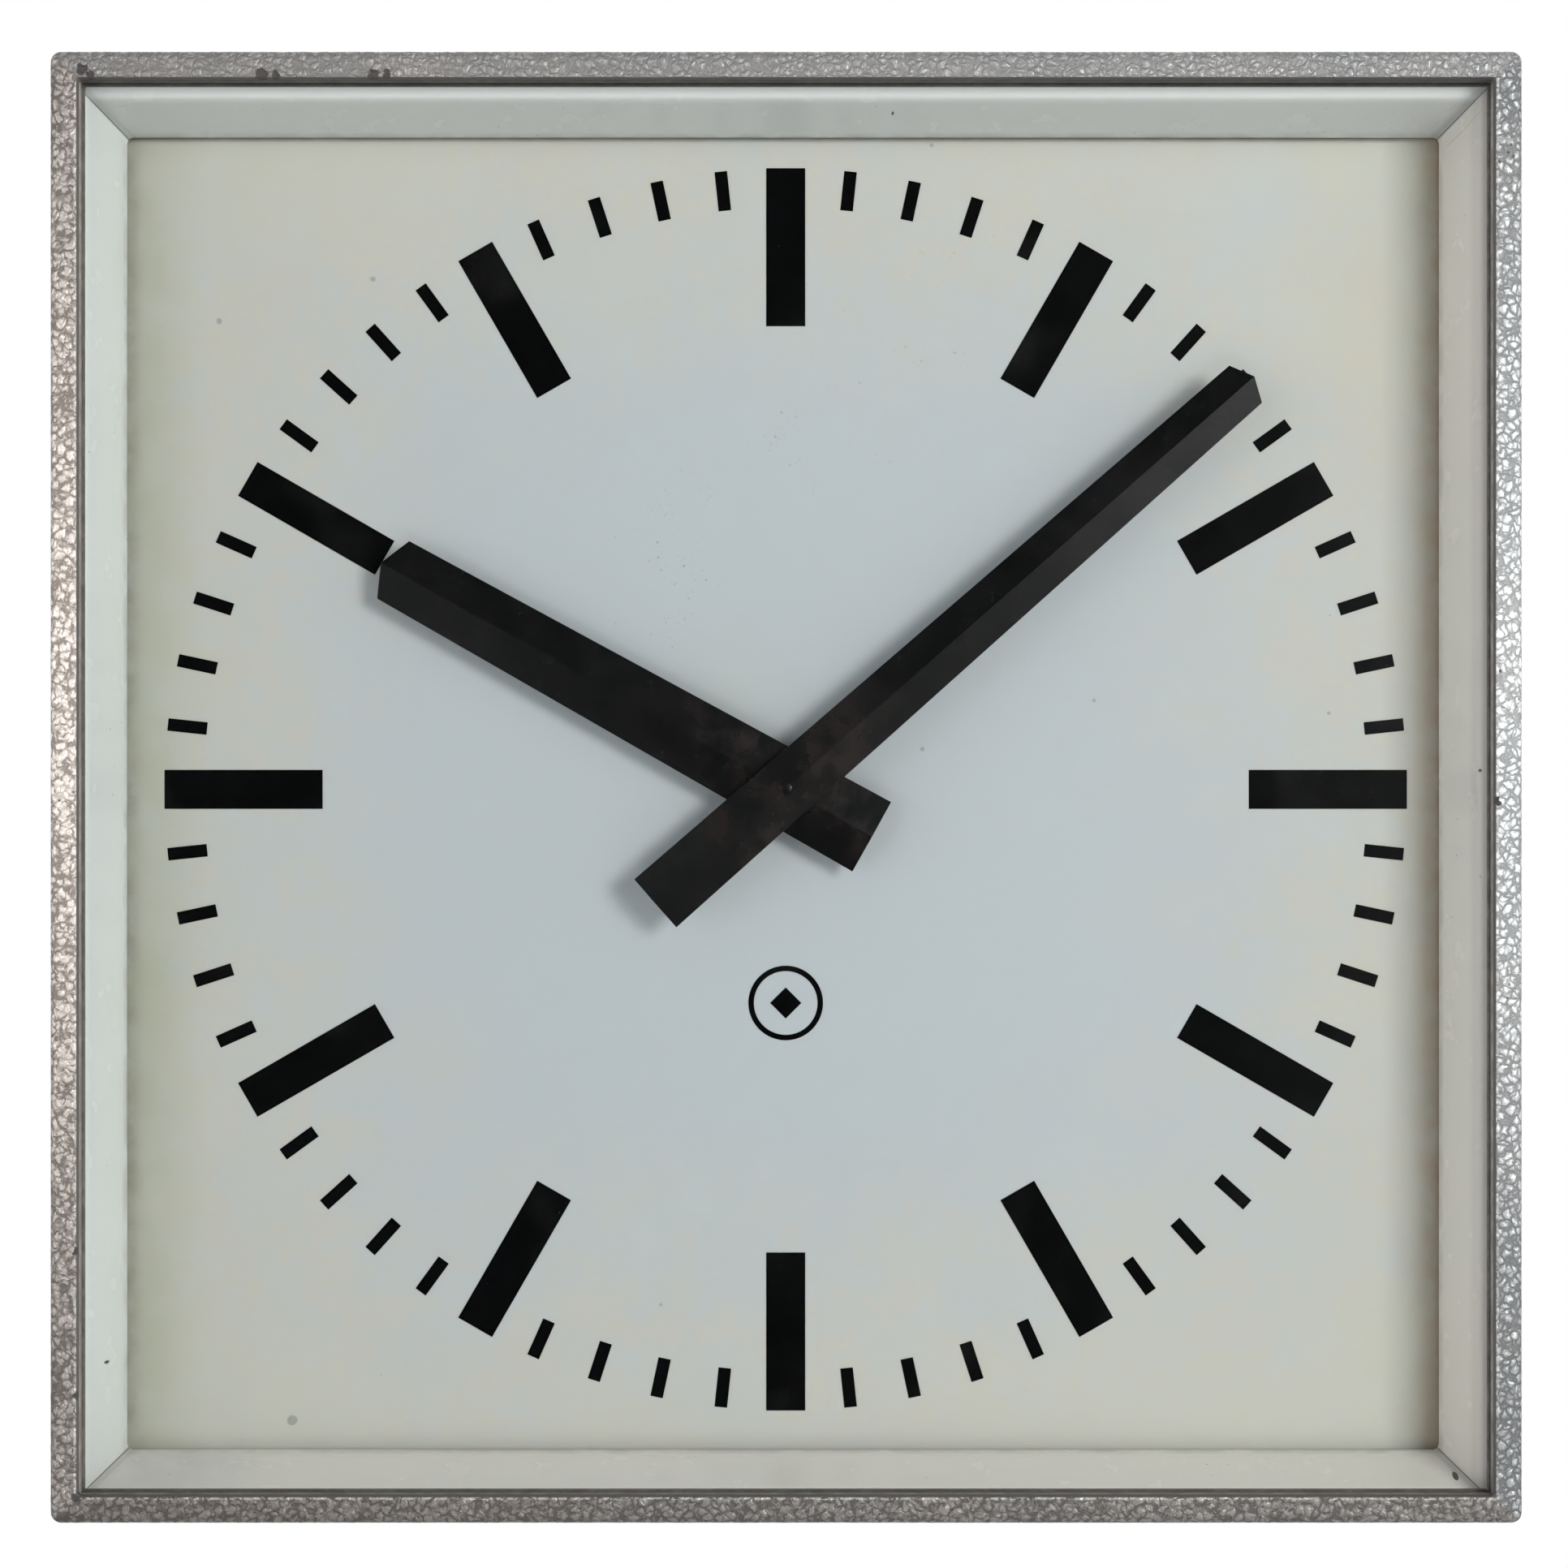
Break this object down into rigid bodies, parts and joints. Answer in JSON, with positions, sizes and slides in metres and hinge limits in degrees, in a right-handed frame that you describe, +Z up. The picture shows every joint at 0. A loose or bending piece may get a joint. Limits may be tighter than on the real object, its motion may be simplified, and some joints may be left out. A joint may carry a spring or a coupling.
{
  "type": "square wall slave clock",
  "caption": "Square wall clock with a glazed sheet-metal case, mitred inner surround, baton dial and two ridged hands on an impulse-driven gear train.",
  "frame": {"origin": "on the axis of the hands, in the plane of the wall behind the case", "axes": "+Z is up, the dial faces -Y, +Y points into the wall, +X is to the viewer's right"},
  "size_m": [0.42, 0.08, 0.42],
  "materials": {
    "hammer_paint": "grey hammer-finish paint, semi-gloss",
    "back_paint": "grey hammer-finish paint, semi-gloss",
    "window_glass": "clear, flat, slightly dusty",
    "seal_rubber": "matt, aged",
    "white_enamel": "satin white stove enamel",
    "zinc_steel": "zinc plated",
    "dial_paint": "matt pale grey, slightly yellowed at the edges",
    "dial_print": "matt black print",
    "hand_black": "satin black lacquer",
    "movement_brass": "fine-brushed, slightly dulled",
    "arbor_steel": "turned and polished",
    "core_iron": "laminated soft iron, oiled",
    "magnet_ferrite": "pressed ferrite, matt",
    "coil_copper": "enamelled copper wire, varnished",
    "bobbin_plastic": "moulded phenolic",
    "terminal_plastic": "moulded urea resin",
    "lead_insulation": "flexible insulation",
    "grommet_rubber": "matt"
  },
  "bodies": {
    "case": {"front_frame": "hammer_paint", "glass": "window_glass", "glass_seal": "seal_rubber", "reflector_frame": "white_enamel", "clip_studs": "zinc_steel", "retaining_clips": "zinc_steel", "clip_nuts": "zinc_steel", "back_case": "back_paint", "frame_screws": "zinc_steel", "frame_nuts": "zinc_steel", "dial_plate": "dial_paint", "dial_hour_marks": "dial_print", "dial_minute_marks": "dial_print", "dial_emblem": "dial_print", "dial_screws": "zinc_steel", "dial_nuts": "zinc_steel", "cable_grommet": "grommet_rubber", "earth_screw": "zinc_steel", "terminal_block": "terminal_plastic", "terminal_screws": "zinc_steel", "coil_leads": "lead_insulation", "movement_standoffs": "zinc_steel", "movement_screws": "zinc_steel", "movement_back_plate": "movement_brass", "movement_front_plate": "movement_brass", "movement_pillars": "movement_brass", "plate_screws": "arbor_steel", "arbor_bushes": "movement_brass", "coil_core": "core_iron", "coil_bobbin": "bobbin_plastic", "coil_winding": "coil_copper", "stator_poles": "core_iron", "stator_spacers": "movement_brass", "stator_screws": "arbor_steel", "motion_stud": "arbor_steel", "stud_clip": "arbor_steel"},
    "minute": {"centre_arbor": "arbor_steel", "centre_wheel": "movement_brass", "cannon_pinion": "movement_brass", "minute_collet": "hand_black", "minute_hand": "hand_black"},
    "hour": {"hour_wheel": "movement_brass", "hour_collet": "hand_black", "hour_hand": "hand_black"},
    "motion": {"minute_wheel": "movement_brass"},
    "intermediate": {"intermediate_arbor": "arbor_steel", "intermediate_wheel": "movement_brass", "intermediate_pinion": "movement_brass"},
    "rotor": {"rotor_arbor": "arbor_steel", "rotor_magnet": "magnet_ferrite", "rotor_pinion": "movement_brass"}
  },
  "joints": [
    {"name": "minute_turn", "type": "hinge", "parent": "case", "child": "minute", "pos_m": [0, 0, 0], "axis": [0, 1, 0], "continuous": true},
    {"name": "hour_turn", "type": "hinge", "parent": "case", "child": "hour", "pos_m": [0, 0, 0], "axis": [0, 1, 0], "continuous": true},
    {"name": "motion_turn", "type": "hinge", "parent": "case", "child": "motion", "pos_m": [0.01273, 0, 0.01273], "axis": [0, 1, 0], "continuous": true},
    {"name": "intermediate_turn", "type": "hinge", "parent": "case", "child": "intermediate", "pos_m": [0, 0, -0.0252], "axis": [0, 1, 0], "continuous": true},
    {"name": "rotor_turn", "type": "hinge", "parent": "case", "child": "rotor", "pos_m": [0, 0, -0.0432], "axis": [0, 1, 0], "continuous": true}
  ],
  "couplings": [
    {"joint": "hour_turn", "follows": "minute_turn", "ratio": 0.083333},
    {"joint": "motion_turn", "follows": "minute_turn", "ratio": -0.33333},
    {"joint": "intermediate_turn", "follows": "minute_turn", "ratio": -6},
    {"joint": "rotor_turn", "follows": "minute_turn", "ratio": 30}
  ]
}
